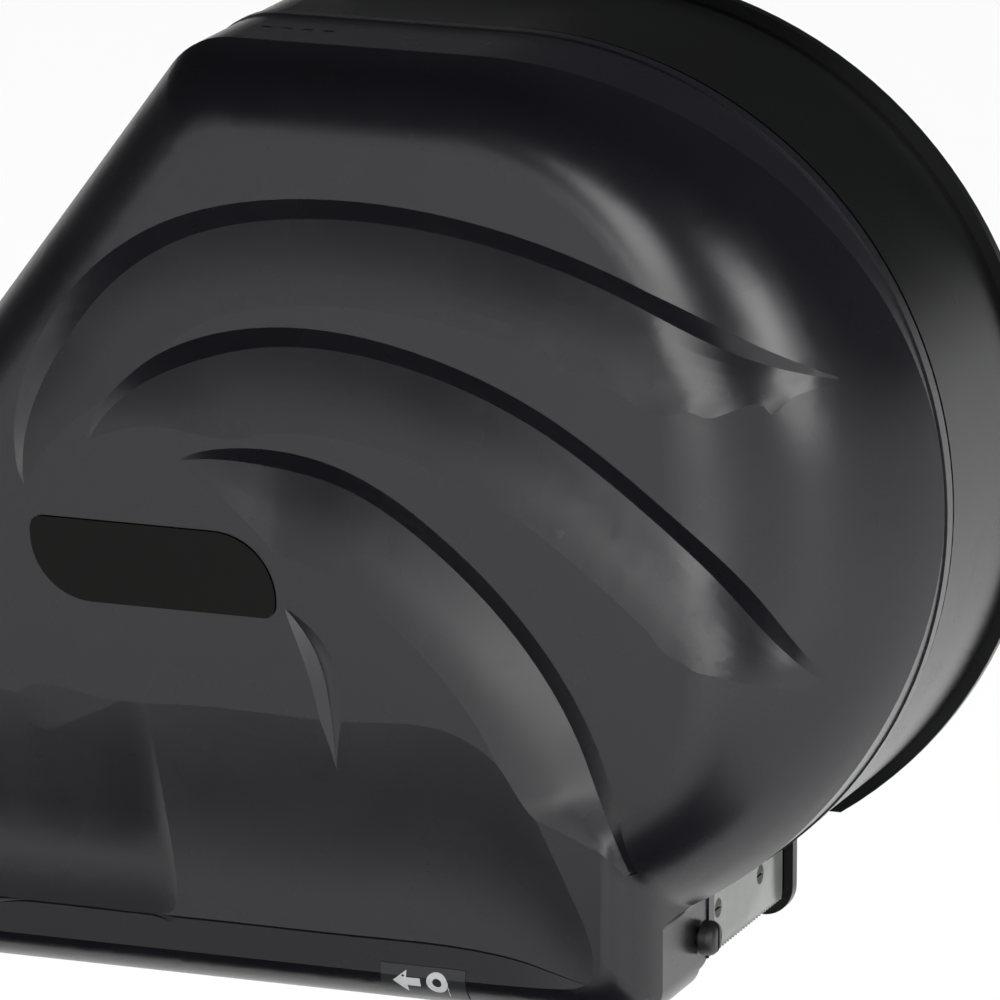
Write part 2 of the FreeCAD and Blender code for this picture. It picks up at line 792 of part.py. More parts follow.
def throat_frame():
    """Frame under the rolls: two paper mouths, grooves for the door, hinge holes and screw tabs."""
    frame = box(frame_left_x, frame_right_x, frame_front_y, back_in, frame_bottom_z, frame_top_z)
    half = divider_width / 2
    for x0, x1 in ((mouth_left_x, divider_x - half), (divider_x + half, mouth_right_x)):
        frame = frame.cut(box(x0, x1, mouth_front_y, mouth_back_y, frame_bottom_z - 1, frame_top_z + 1))
    frame = frame.cut(box(
        mouth_left_x, mouth_right_x, mouth_front_y, mouth_back_y, frame_bottom_z - 1, groove_top_z))
    frame = frame.cut(box(
        mouth_left_x, mouth_right_x, mouth_front_y - door_groove, mouth_back_y + door_groove,
        groove_bottom_z, groove_top_z,
    ))
    tabs = []
    for x, z in tab_screw_places():
        tabs.append(box(
            x - tab_width / 2, x + tab_width / 2, back_in - tab_thickness, back_in,
            frame_top_z, frame_top_z + tab_height,
        ))
    frame = joined(frame, tabs)
    for x, z in tab_screw_places():
        frame = frame.cut(rod(x, z, 1, back_in - tab_thickness - 1, screw_radius + 0.2))
    for x, way in ((frame_right_x, -1), (frame_left_x, 1)):
        axis = Vector(way, 0, 0)
        frame = frame.cut(Part.makeCylinder(
            pin_radius + press_fit, frame_side - 0.8, Vector(x - 0.01 * way, hinge_y, hinge_z), axis))
        for y in bar_screw_y():
            frame = frame.cut(Part.makeCylinder(
                screw_radius + press_fit, frame_side - 0.8, Vector(x - 0.01 * way, y, bar_screw_z()), axis))
    return frame.cut(front_margin())


def front_margin():
    """What the throat leaves free behind the rounded front of the cover."""
    far = 2 * shell_radius
    space = box(-far, far, front_y - 1, cover_rear_y, -far, frame_top_z + frame_height)
    return space.cut(cover_form(cover_wall + side_gap))


def tear_bar(outer_x, way):
    """Clear plate with a serrated lower edge, on one side of the throat."""
    y0, y1 = bar_front_y, -rim_thickness - clear_gap
    count = int((y1 - y0) / tooth_pitch)
    pitch = (y1 - y0) / count
    points = [Vector(outer_x, y1, bar_top_z), Vector(outer_x, y0, bar_top_z)]
    for index in range(count):
        points.append(Vector(outer_x, y0 + pitch * index, bar_tip_z + tooth_depth))
        points.append(Vector(outer_x, y0 + pitch * (index + 0.5), bar_tip_z))
    points.append(Vector(outer_x, y1, bar_tip_z + tooth_depth))
    plate = Part.Face(Part.makePolygon(points + points[:1])).extrude(Vector(-way * bar_thickness, 0, 0))
    axis = Vector(-way, 0, 0)
    start = Vector(outer_x + way, hinge_y, hinge_z)
    plate = plate.cut(Part.makeCylinder(pin_radius + clear_gap, bar_thickness + 2, start, axis))
    for y in bar_screw_y():
        place = Vector(outer_x, y, bar_screw_z())
        plate = plate.cut(Part.makeCylinder(screw_radius + 0.2, bar_thickness + 1, place, axis))
        plate = plate.cut(Part.makeCone(
            screw_head_radius, screw_radius + 0.2, screw_head_radius - screw_radius - 0.2, place, axis))
    return plate.cut(front_margin())


def bar_screw(outer_x, way, y):
    """Flush screw through a tear bar into the frame."""
    axis = Vector(-way, 0, 0)
    place = Vector(outer_x, y, bar_screw_z())
    head = Part.makeCone(
        screw_head_radius - 0.1, screw_radius, screw_head_radius - 0.1 - screw_radius, place, axis)
    shank = Part.makeCylinder(screw_radius, bar_thickness + frame_side - 1.4, place, axis)
    slot = box(outer_x - 0.6, outer_x + 0.6, y - screw_head_radius, y + screw_head_radius,
               bar_screw_z() - 0.4, bar_screw_z() + 0.4)
    return head.fuse(shank).removeSplitter().cut(slot)


def hinge_pin(wall_x, way):
    """Split snap pin: round shank in the frame, domed head outside the cover."""
    axis = Vector(-way, 0, 0)
    seat = Vector(wall_x + way * (bead_height + clear_gap), hinge_y, hinge_z)
    length = bead_height + clear_gap + cover_wall + side_gap + bar_thickness + frame_side - 1.2
    shank = Part.makeCylinder(pin_radius, length, seat, axis)
    head = Part.makeCylinder(pin_head_radius, pin_head_length, seat, Vector(way, 0, 0))
    end_x = seat.x + way * pin_head_length
    rim = [
        edge for edge in head.Edges
        if edge.Length > pin_head_radius and abs(edge.BoundBox.XMin - end_x) < 0.01
        and abs(edge.BoundBox.XMax - end_x) < 0.01
    ]
    head = head.makeFillet(pin_head_radius * 0.5, rim)
    x0, x1 = sorted((seat.x + way * pin_head_length * 0.35, end_x + way))
    slit = box(x0, x1, hinge_y - pin_slit / 2, hinge_y + pin_slit / 2, hinge_z - 8, hinge_z + 8)
    return head.cut(slit).fuse(shank).removeSplitter()


def roll_door():
    """Flat door in the grooves of the frame."""
    return box(
        door_left_x, door_right_x, mouth_front_y - door_groove + clear_gap,
        mouth_back_y + door_groove - clear_gap, door_bottom_z, door_top_z,
    )


def door_grip():
    """Finger grip under the left end of the door."""
    middle = (mouth_front_y + mouth_back_y) / 2
    y0, y1 = middle - grip_length / 2, middle + grip_length / 2
    grip = box(door_left_x, door_left_x + grip_width, y0, y1, grip_bottom_z, door_bottom_z)
    scoop = Part.makeCylinder(
        grip_width * 0.7, grip_length + 2,
        Vector(door_left_x + grip_width * 1.25, y0 - 1, (grip_bottom_z + door_bottom_z) / 2), Vector(0, 1, 0))
    return grip.cut(scoop)


def tooth_front_y():
    """Front face of the latch tooth."""
    return lock_front_y + lock_wall + slide_gap


def lock_screw_y():
    """Depth of the two screws of the lock case."""
    first = lock_flange_back_y - lock_screw_inset
    return [first, first - lock_screw_pitch]


def lock_case():
    """Open-topped case of the latch, hung from the top of the housing."""
    x0, x1 = lock_x - lock_width / 2, lock_x + lock_width / 2
    case = box(x0, x1, lock_front_y, lock_back_y, lock_floor_z, lock_top_z)
    well = box(
        x0 + lock_wall, x1 - lock_wall, lock_front_y + lock_wall, lock_back_y - lock_wall,
        lock_floor_z + lock_wall, lock_top_z + 1,
    )
    neck = box(
        x0 + lock_neck_inset, x1 - lock_neck_inset, lock_back_y, lock_flange_front_y + lock_neck_lap,
        lock_flange_low_z - lock_neck, lock_flange_low_z,
    )
    flange = box(x0, x1, lock_flange_front_y, lock_flange_back_y, lock_flange_low_z, housing_top_in)
    case = joined(case, [neck, flange]).cut(well)
    keepers = []
    keeper_y = tooth_front_y() + tooth_thickness + keeper_gap
    reach = lock_wall + keeper_width
    for k0, k1 in ((x0, x0 + reach), (x1 - reach, x1)):
        keepers.append(box(k0, k1, keeper_y, lock_back_y, lock_top_z, lock_top_z + keeper_height))
    case = joined(case, keepers)
    for y in lock_screw_y():
        case = case.cut(Part.makeCylinder(
            screw_radius + 0.2, lock_flange + 2, Vector(lock_x, y, lock_flange_low_z - 1)))
    return case


def lock_case_screw(y):
    """Screw that hangs the lock case from the housing."""
    seat_z = lock_flange_low_z
    head = Part.makeCylinder(screw_head_radius, screw_head_height, Vector(lock_x, y, seat_z - screw_head_height))
    shank = Part.makeCylinder(screw_radius, lock_flange + screw_bite - 0.2, Vector(lock_x, y, seat_z))
    slot = box(lock_x - screw_head_radius, lock_x + screw_head_radius, y - 0.4, y + 0.4,
               seat_z - screw_head_height - 1, seat_z - screw_head_height + 0.8)
    return head.fuse(shank).removeSplitter().cut(slot)


def latch_top_z():
    """Top of the latch body while the key holds it down."""
    return lock_top_z - latch_travel - clear_gap


def lock_latch():
    """Sliding latch with its tooth, stored as the key holds it: down and clear of the strike."""
    x0 = lock_x - lock_width / 2 + lock_wall + slide_gap
    x1 = lock_x + lock_width / 2 - lock_wall - slide_gap
    y0 = tooth_front_y()
    y1 = lock_back_y - lock_wall - slide_gap
    top = latch_top_z()
    body = box(x0, x1, y0, y1, top - latch_height, top)
    tooth = box(x0 + 1.5, x1 - 1.5, y0, y0 + tooth_thickness, top, top + tooth_height)
    return joined(body, [tooth])


def latch_spring():
    """Coil under the latch, built of half-turn arcs."""
    low = lock_floor_z + lock_wall + spring_wire / 2 + 0.02
    high = latch_top_z() - latch_height - spring_wire / 2 - 0.02
    middle_y = (tooth_front_y() + lock_back_y - lock_wall - slide_gap) / 2
    steps = spring_turns * 4

    def on_coil(share):
        angle = 2 * math.pi * spring_turns * share
        return Vector(
            lock_x + spring_radius * math.cos(angle), middle_y + spring_radius * math.sin(angle),
            low + (high - low) * share)

    edges = []
    for index in range(steps):
        start = on_coil(index / steps)
        middle = on_coil((index + 0.5) / steps)
        end = on_coil((index + 1) / steps)
        edges.append(Part.Arc(start, middle, end).toShape())
    path = Part.Wire(edges)
    way = path.Edges[0].tangentAt(path.Edges[0].FirstParameter)
    ring = Part.Wire(Part.Circle(on_coil(0), way, spring_wire / 2).toShape())
    pitch = (high - low) / spring_turns
    print("latch spring: gap between its turns %.2f mm" % (pitch - spring_wire))
    return path.makePipeShell([ring], True, False)


def strike_front_y():
    """Front face of the strike's hook."""
    return tooth_front_y() + tooth_thickness + strike_gap


def strike_screw_x():
    """Places of the strike's screws along X."""
    return [lock_x - lock_width * 0.3, lock_x + lock_width * 0.3]


def strike_screw_y():
    """Depth of the strike's screws."""
    return (strike_front_y() + strike_thickness + strike_back_y) / 2


def hook_low_z():
    """Lower edge of the strike's hook: above the tooth while the key holds it down."""
    return latch_top_z() + tooth_height + hook_gap


def lock_strike():
    """Angle piece on the cover that the latch tooth holds."""
    x0, x1 = lock_x - lock_width / 2 + 3, lock_x + lock_width / 2 - 3
    y0 = strike_front_y()
    flange = box(x0, x1, y0, strike_back_y, cover_top_in - strike_flange, cover_top_in)
    hook = box(x0, x1, y0, y0 + strike_thickness, hook_low_z(), cover_top_in - strike_flange)
    strike = joined(flange, [hook])
    for x in strike_screw_x():
        strike = strike.cut(Part.makeCylinder(
            screw_radius + 0.2, strike_flange + 2, Vector(x, strike_screw_y(), cover_top_in - strike_flange - 1)))
    return strike.common(cover_form(cover_wall))


def strike_screw(x):
    """Screw that holds the strike to the cover."""
    seat = Vector(x, strike_screw_y(), cover_top_in - strike_flange)
    head = Part.makeCylinder(screw_head_radius, screw_head_height * 0.8, seat, Vector(0, 0, -1))
    shank = Part.makeCylinder(screw_radius, strike_flange + cover_wall * 0.5, seat)
    return head.fuse(shank).removeSplitter()


screw_seat = back_in - post_flange
nodes = {
    "rear_housing": rear_housing(),
    "front_cover": front_cover(),
    "badge_plate": badge_plate(),
    "sign_plate": sign_plate(),
    "main_post": post(0, 0, main_post_radius, main_flange_radius, main_screw_places()),
    "main_post_screws": Part.makeCompound([flange_screw(x, z, screw_seat) for x, z in main_screw_places()]),
    "main_hub": hub(0, 0, main_post_radius, main_sleeve_wall, main_disc_radius, main_fin_radius),
    "main_ring": clip(0, 0, main_post_radius),
    "main_hub_cap": hub_cap(0, 0, main_post_radius, main_sleeve_wall),
    "stub_post": post(stub_x, stub_z, stub_post_radius, stub_flange_radius, stub_screw_places()),
    "stub_post_screws": Part.makeCompound([flange_screw(x, z, screw_seat) for x, z in stub_screw_places()]),
    "stub_hub": hub(stub_x, stub_z, stub_post_radius, stub_sleeve_wall, stub_disc_radius, stub_fin_radius),
    "stub_ring": clip(stub_x, stub_z, stub_post_radius),
    "stub_hub_cap": hub_cap(stub_x, stub_z, stub_post_radius, stub_sleeve_wall),
    "throat_frame": throat_frame(),
    "frame_screws": Part.makeCompound(
        [flange_screw(x, z, back_in - tab_thickness) for x, z in tab_screw_places()]),
    "tear_bar_right": tear_bar(bar_right_x, 1),
    "tear_bar_left": tear_bar(bar_left_x, -1),
    "tear_bar_screws": Part.makeCompound(
        [bar_screw(bar_right_x, 1, y) for y in bar_screw_y()]
        + [bar_screw(bar_left_x, -1, y) for y in bar_screw_y()]),
    "hinge_pin_right": hinge_pin(foot_x, 1),
    "hinge_pin_left": hinge_pin(left_x, -1),
    "roll_door": roll_door(),
    "door_grip": door_grip(),
    "lock_case": lock_case(),
    "lock_case_screws": Part.makeCompound([lock_case_screw(y) for y in lock_screw_y()]),
    "lock_latch": lock_latch(),
    "latch_spring": latch_spring(),
    "lock_strike": lock_strike(),
    "strike_screws": Part.makeCompound([strike_screw(x) for x in strike_screw_x()]),
}

os.makedirs("parts", exist_ok=True)
for name, shape in nodes.items():
    shape.exportStep("parts/" + name + ".step")
    print("%-18s solids %d, volume %.0f mm3, valid %s" % (
        name, len(shape.Solids), shape.Volume, shape.isValid()))
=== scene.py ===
"""Looks of the two-roll paper dispenser: finishes, printed sign, floor, light and camera."""

import math

import bpy
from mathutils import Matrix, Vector


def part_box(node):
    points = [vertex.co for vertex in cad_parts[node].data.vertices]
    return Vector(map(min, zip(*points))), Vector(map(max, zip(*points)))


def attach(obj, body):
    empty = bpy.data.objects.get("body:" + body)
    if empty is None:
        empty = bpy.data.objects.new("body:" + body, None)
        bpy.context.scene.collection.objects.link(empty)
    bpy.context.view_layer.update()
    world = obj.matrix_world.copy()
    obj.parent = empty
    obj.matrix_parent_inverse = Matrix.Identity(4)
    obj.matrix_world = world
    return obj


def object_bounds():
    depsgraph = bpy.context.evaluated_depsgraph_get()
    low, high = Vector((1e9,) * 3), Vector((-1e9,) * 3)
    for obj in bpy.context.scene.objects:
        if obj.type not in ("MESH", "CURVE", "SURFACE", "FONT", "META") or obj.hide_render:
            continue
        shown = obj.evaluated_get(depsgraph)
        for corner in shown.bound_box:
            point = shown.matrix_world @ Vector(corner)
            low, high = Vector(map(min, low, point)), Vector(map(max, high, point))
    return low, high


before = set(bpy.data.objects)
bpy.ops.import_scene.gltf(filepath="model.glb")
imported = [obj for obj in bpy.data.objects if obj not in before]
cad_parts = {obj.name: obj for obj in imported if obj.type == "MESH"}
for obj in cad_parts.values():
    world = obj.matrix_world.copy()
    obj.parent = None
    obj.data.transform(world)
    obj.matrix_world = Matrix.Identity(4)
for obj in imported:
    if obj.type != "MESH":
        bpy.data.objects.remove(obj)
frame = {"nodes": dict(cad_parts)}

bl_info = {
    "name": "Paper dispenser looks",
    "version": (1, 0, 0),
    "blender": (4, 5, 0),
    "location": "3D View > Sidebar > Dispenser",
    "description": "Dresses the packed dispenser with moulded plastics, a printed sign and a studio stage",
    "category": "Object",
}

CAD_BOX = [list(corner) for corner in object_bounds()]
NODES = frame["nodes"]
MM = 0.001
SIGN_LOW, SIGN_HIGH = [Vector(corner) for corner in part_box("sign_plate")]

# Finishes: roughness, depth of the grain and, where it isn't plain plastic, IOR
PLASTIC_IOR = 1.5
ROUGHNESS_SPREAD = 0.02
SATIN_ROUGHNESS, SATIN_GRAIN = 0.27, 0.006 * MM
BADGE_ROUGHNESS, BADGE_IOR = 0.12, 1.2
HOUSING_ROUGHNESS, HOUSING_GRAIN, HOUSING_IOR = 0.26, 0.004 * MM, 1.32
NYLON_ROUGHNESS, SPINDLE_ROUGHNESS, MATT_GRAIN = 0.45, 0.42, 0.012 * MM
OXIDE_ROUGHNESS, OXIDE_GRAIN = 0.5, 0.01 * MM
VINYL_ROUGHNESS, INK_ROUGHNESS, PRINT_GRAIN = 0.35, 0.55, 0.004 * MM
CLEAR_ROUGHNESS, CLEAR_IOR, CLEAR_SHARE = (0.15, 0.25), 1.58, 0.4
CLEAR_CLOUD = 8 * MM
ZINC_ROUGHNESS = (0.26, 0.38)
ZINC_CLOUD = 1.5 * MM
NOISE_LOW, NOISE_HIGH = 0.3, 0.7
CLOUD_DETAIL, GRAIN_DETAIL = 3.0, 2.0

# Printed sign, as places on its plate and shares of its own sizes
TIP_FROM_EDGE = 4.0 * MM
ROLL_FROM_TIP = 14.6 * MM
ROLL_RAISE = 0.4 * MM
HEAD_SHARE = 0.5
SHAFT_SHARE = 0.19
HEAD_STEP = 0.02 * MM
PICK_MARGIN = 0.01 * MM
RING_SHARE = 0.56
RING_SIDES = 40
TAIL_SIDE, TAIL_TOP, TAIL_DROP = 0.94, 0.3, 1.15
PRINT_CUTS = 3
PRINT_STANDOFF = 1 * MM

# Stage, in metres and degrees; azimuth 0 is the front and grows to the right
FLOOR_SIZE = 80
FLAG_MIDDLE = (-0.06, -0.305)
FLAG_SIZE = (0.62, 0.31)
FLAG_LIFT = 2 * MM
# Upward share of a direction where the glow of the wall starts to fade and has gone
WALL_LOW, WALL_HIGH = 0.05, 0.12
WALL_GLOW, ROOM_GLOW = 0.6, 0.03
LAMP_AIM = Vector((0, -0.12, 0))
# Name, azimuth, elevation, distance, width and height, radiance
SOFTBOXES = (
    ("main softbox", 14, 15, 1.8, (0.7, 0.7), 6.0),
    ("right softbox", 62, 14, 1.8, (0.45, 0.8), 9.0),
    ("left fill", -30, 8, 2.2, (1.0, 0.8), 0.5),
    ("low card", 4, -2, 1.6, (0.7, 0.26), 4.0),
)
BACK_AZIMUTH, BACK_ELEVATION = 160, 36
BACK_STRENGTH, BACK_ANGLE = 5.4, 12
# Camera fitted to the photograph; its lens and sensor are in millimetres
EYE_AZIMUTH, EYE_ELEVATION = 20.65, 14.17
EYE_DISTANCE = 3248.4 * MM
EYE_TARGET = Vector((-9.43, -72.08, -10.73)) * MM
EYE_LENS, EYE_SENSOR, EYE_REACH = 373.4, 36.0, 100.0


def linear(code):
    """Linear colour of an sRGB hex value, with full alpha."""
    shares = [int(code[start:start + 2], 16) / 255 for start in (1, 3, 5)]
    return tuple(
        share / 12.92 if share <= 0.04045 else ((share + 0.055) / 1.055) ** 2.4
        for share in shares
    ) + (1.0,)


def add(tree, kind, sockets=None, **settings):
    """Adds one node; a socket takes a value, or another node's output as its link."""
    made = tree.nodes.new(kind)
    for key, value in settings.items():
        setattr(made, key, value)
    for key, value in (sockets or {}).items():
        if isinstance(value, bpy.types.NodeSocket):
            tree.links.new(value, made.inputs[key])
        else:
            made.inputs[key].default_value = value
    return made


def new_material(name):
    """Empty node material and its tree."""
    material = bpy.data.materials.new(name)
    material.use_nodes = True
    material.node_tree.nodes.clear()
    return material, material.node_tree


def dress(material, *names):
    """Gives a finish to CAD nodes."""
    for name in names:
        for slot in NODES[name].material_slots:
            slot.material = material


def matt_coat(shape, name, code):
    """Gives a piece of the stage one plain matt colour."""
    material, tree = new_material(name)
    coat = add(tree, "ShaderNodeBsdfDiffuse", {"Color": linear(code)})
    add(tree, "ShaderNodeOutputMaterial", {"Surface": coat.outputs["BSDF"]})
    shape.data.materials.append(material)


def towards(azimuth, elevation):
    """Way from the object to a place at an azimuth and an elevation in degrees."""
    turn, rise = math.radians(azimuth), math.radians(elevation)
    return Vector((
        math.sin(turn) * math.cos(rise), -math.cos(turn) * math.cos(rise), math.sin(rise)))


class DispenserColours(bpy.types.PropertyGroup):
    """Colours of the finishes."""

    cover: bpy.props.StringProperty(
        name="Cover", description="Smoke plastic of the cover, sRGB hex", default="#101015")
    cover_light: bpy.props.StringProperty(
        name="Cover, light", description="Lighter flow marks in the cover, sRGB hex", default="#15151b")
    housing: bpy.props.StringProperty(
        name="Housing", description="Smoke plastic of the housing, sRGB hex", default="#0b0b0c")
    housing_light: bpy.props.StringProperty(
        name="Housing, light", description="Lighter flow marks in the housing, sRGB hex", default="#0f1010")
    badge: bpy.props.StringProperty(
        name="Badge", description="Black coat of the badge plate, sRGB hex", default="#0b0b0a")
    frame: bpy.props.StringProperty(
        name="Throat", description="Black plastic of the throat frame, sRGB hex", default="#1b1b1c")
    frame_light: bpy.props.StringProperty(
        name="Throat, light", description="Rubbed places of the throat frame, sRGB hex", default="#232324")
    spindle: bpy.props.StringProperty(
        name="Spindles", description="Grey plastic of the spindles, sRGB hex", default="#4a4c4e")
    spindle_light: bpy.props.StringProperty(
        name="Spindles, light", description="Lighter flow marks in the spindles, sRGB hex",
        default="#565859")
    clear: bpy.props.StringProperty(
        name="Tear bars", description="Tint of the clear tear bars, sRGB hex", default="#8d938c")
    clear_light: bpy.props.StringProperty(
        name="Tear bars, light", description="Hazier places of the tear bars, sRGB hex", default="#a2a8a1")
    sign: bpy.props.StringProperty(
        name="Sign", description="Dark plate under the print, sRGB hex", default="#2b2c2f")
    ink: bpy.props.StringProperty(
        name="Ink", description="Print of the arrow and roll, sRGB hex", default="#c9cbce")
    ink_light: bpy.props.StringProperty(
        name="Ink, light", description="Thinner places of the print, sRGB hex", default="#d2d4d6")
    zinc: bpy.props.StringProperty(
        name="Zinc", description="Bright plating of the steel, sRGB hex", default="#b9bcc0")
    oxide: bpy.props.StringProperty(
        name="Black oxide", description="Dark screws of the bars and frame, sRGB hex", default="#161616")
    oxide_light: bpy.props.StringProperty(
        name="Black oxide, light", description="Rubbed places of the dark screws, sRGB hex",
        default="#202020")
    floor: bpy.props.StringProperty(
        name="Floor", description="Pale floor, sRGB hex", default="#f4f4f4")
    # Painted shade: black of the flag below the front, mirrored by the undersides of the steps
    shade_flag: bpy.props.StringProperty(
        name="Flag", description="Painted shade: dark flag below the front, sRGB hex", default="#0c0c0c")
    glow: bpy.props.StringProperty(
        name="Room", description="Light of the room, sRGB hex", default="#ffffff")


class DispenserSizes(bpy.types.PropertyGroup):
    """Sizes of the printed sign, of the surface grain and of the room below."""

    grain: bpy.props.FloatProperty(
        name="Grain", description="Spacing of the moulded grain, as drawn", default=0.7 * MM,
        unit="LENGTH", precision=5)
    flow: bpy.props.FloatProperty(
        name="Flow marks", description="Spacing of the faint flow marks", default=35 * MM,
        unit="LENGTH", precision=4)
    print_thickness: bpy.props.FloatProperty(
        name="Print thickness", description="Thickness of the print on its plate", default=0.12 * MM,
        unit="LENGTH", precision=5)
    arrow_length: bpy.props.FloatProperty(
        name="Arrow length", description="Length of the printed arrow", default=9.0 * MM,
        unit="LENGTH", precision=5)
    arrow_height: bpy.props.FloatProperty(
        name="Arrow height", description="Height of the arrow's head", default=7.4 * MM,
        unit="LENGTH", precision=5)
    roll_radius: bpy.props.FloatProperty(
        name="Roll radius", description="Radius of the printed roll", default=3.5 * MM,
        unit="LENGTH", precision=5)
    floor_drop: bpy.props.FloatProperty(
        name="Floor drop", description="Room under the hung case, where the open cover swings",
        default=150 * MM, unit="LENGTH", precision=4)


def grained_finish(name, dark, light, roughness, grain_depth, ior=PLASTIC_IOR):
    """Plain finish with faint clouds in its colour and a fine grain that softens its highlights."""
    sizes = bpy.context.scene.dispenser_sizes
    material, tree = new_material(name)
    place = add(tree, "ShaderNodeTexCoord")
    flow = add(tree, "ShaderNodeTexNoise", {
        "Vector": place.outputs["Object"], "Scale": 1 / sizes.flow, "Detail": CLOUD_DETAIL})
    # Real grain is too fine to show in the render, so it is drawn coarser
    grain = add(tree, "ShaderNodeTexNoise", {
        "Vector": place.outputs["Object"], "Scale": 1 / sizes.grain, "Detail": GRAIN_DETAIL})
    body = add(tree, "ShaderNodeMix", {
        "Factor": flow.outputs["Fac"], "A": linear(dark), "B": linear(light)}, data_type="RGBA")
    matt = add(tree, "ShaderNodeMapRange", {
        "Value": flow.outputs["Fac"], "From Min": NOISE_LOW, "From Max": NOISE_HIGH,
        "To Min": roughness - ROUGHNESS_SPREAD, "To Max": roughness + ROUGHNESS_SPREAD})
    bump = add(tree, "ShaderNodeBump", {
        "Height": grain.outputs["Fac"], "Strength": 1.0, "Distance": grain_depth})
    skin = add(tree, "ShaderNodeBsdfPrincipled", {
        "Base Color": body.outputs["Result"], "Roughness": matt.outputs["Result"], "IOR": ior,
        "Normal": bump.outputs["Normal"]})
    add(tree, "ShaderNodeOutputMaterial", {"Surface": skin.outputs["BSDF"]})
    return material


class DISPENSER_OT_cover(bpy.types.Operator):
    """Finishes the moulded cover and its bare badge plate"""

    bl_idname = "dispenser.cover"
    bl_label = "Finish the cover"

    def execute(self, context):
        colours = context.scene.dispenser_colours
        # Smoke-dark satin moulding: broad soft highlights on a violet-black body
        dress(
            grained_finish(
                "Smoke ABS, satin moulded", colours.cover, colours.cover_light,
                SATIN_ROUGHNESS, SATIN_GRAIN),
            "front_cover",
        )
        # Coated plate: deep black that mirrors little of the floor, so its IOR is low
        dress(
            grained_finish(
                "Black ABS, coated", colours.badge, colours.badge, BADGE_ROUGHNESS, 0.0, BADGE_IOR),
            "badge_plate",
        )
        return {"FINISHED"}


class DISPENSER_OT_housing(bpy.types.Operator):
    """Finishes the housing, throat, spindles and lock"""

    bl_idname = "dispenser.housing"
    bl_label = "Finish the housing"

    def execute(self, context):
        colours = context.scene.dispenser_colours
        # Hardly smoother than the cover: the pale floor shows along its lower side, dimmed by a low IOR
        dress(
            grained_finish(
                "Smoke ABS, polished moulded", colours.housing, colours.housing_light,
                HOUSING_ROUGHNESS, HOUSING_GRAIN, HOUSING_IOR),
            "rear_housing",
        )
        # Plain inner mouldings: matt and dark
        dress(
            grained_finish(
                "Black nylon, moulded", colours.frame, colours.frame_light, NYLON_ROUGHNESS, MATT_GRAIN),
            "throat_frame", "roll_door", "door_grip", "hinge_pin_right", "hinge_pin_left",
            "lock_case", "lock_latch",
        )
        # Waxy grey plastic: soft, wide highlights
        dress(
            grained_finish(
                "Grey polypropylene, moulded", colours.spindle, colours.spindle_light,
                SPINDLE_ROUGHNESS, MATT_GRAIN),
            "main_post", "main_hub", "main_hub_cap", "stub_post", "stub_hub", "stub_hub_cap",
        )
        return {"FINISHED"}


class DISPENSER_OT_tear_bars(bpy.types.Operator):
    """Finishes the clear tear bars"""

    bl_idname = "dispenser.tear_bars"
    bl_label = "Finish the tear bars"

    def execute(self, context):
        colours = context.scene.dispenser_colours
        # Clear grey-green sheet: what lies behind shows through, a little dulled
        material, tree = new_material("Clear polycarbonate, moulded")
        place = add(tree, "ShaderNodeTexCoord")
        cloud = add(tree, "ShaderNodeTexNoise", {
            "Vector": place.outputs["Object"], "Scale": 1 / CLEAR_CLOUD, "Detail": CLOUD_DETAIL})
        tint = add(tree, "ShaderNodeMix", {
            "Factor": cloud.outputs["Fac"], "A": linear(colours.clear), "B": linear(colours.clear_light)},
            data_type="RGBA")
        haze = add(tree, "ShaderNodeMapRange", {
            "Value": cloud.outputs["Fac"], "From Min": NOISE_LOW, "From Max": NOISE_HIGH,
            "To Min": CLEAR_ROUGHNESS[0], "To Max": CLEAR_ROUGHNESS[1]})
        skin = add(tree, "ShaderNodeBsdfPrincipled", {
            "Base Color": tint.outputs["Result"], "Roughness": haze.outputs["Result"], "IOR": CLEAR_IOR,
            "Transmission Weight": CLEAR_SHARE})
        add(tree, "ShaderNodeOutputMaterial", {"Surface": skin.outputs["BSDF"]})
        dress(material, "tear_bar_right", "tear_bar_left")
        return {"FINISHED"}


class DISPENSER_OT_steel(bpy.types.Operator):
    """Finishes the screws, rings, strike and spring"""

    bl_idname = "dispenser.steel"
    bl_label = "Finish the steel pieces"

    def execute(self, context):
        colours = context.scene.dispenser_colours
        # Bright zinc: greyish metal with a slightly uneven sheen
        material, tree = new_material("Zinc-plated steel, rolled")
        place = add(tree, "ShaderNodeTexCoord")
        cloud = add(tree, "ShaderNodeTexNoise", {
            "Vector": place.outputs["Object"], "Scale": 1 / ZINC_CLOUD, "Detail": GRAIN_DETAIL})
        sheen = add(tree, "ShaderNodeMapRange", {
            "Value": cloud.outputs["Fac"], "From Min": NOISE_LOW, "From Max": NOISE_HIGH,
            "To Min": ZINC_ROUGHNESS[0], "To Max": ZINC_ROUGHNESS[1]})
        skin = add(tree, "ShaderNodeBsdfPrincipled", {
            "Base Color": linear(colours.zinc), "Roughness": sheen.outputs["Result"], "Metallic": 1.0})
        add(tree, "ShaderNodeOutputMaterial", {"Surface": skin.outputs["BSDF"]})
        dress(
            material, "main_post_screws", "stub_post_screws", "lock_case_screws", "strike_screws",
            "lock_strike", "main_ring", "stub_ring", "latch_spring",
        )
        # Black oxide: nearly no shine, so these heads stay dark blots on the clear bars
        dress(
            grained_finish(
                "Black-oxide steel, dipped", colours.oxide, colours.oxide_light,
                OXIDE_ROUGHNESS, OXIDE_GRAIN),
            "frame_screws", "tear_bar_screws",
        )
        return {"FINISHED"}


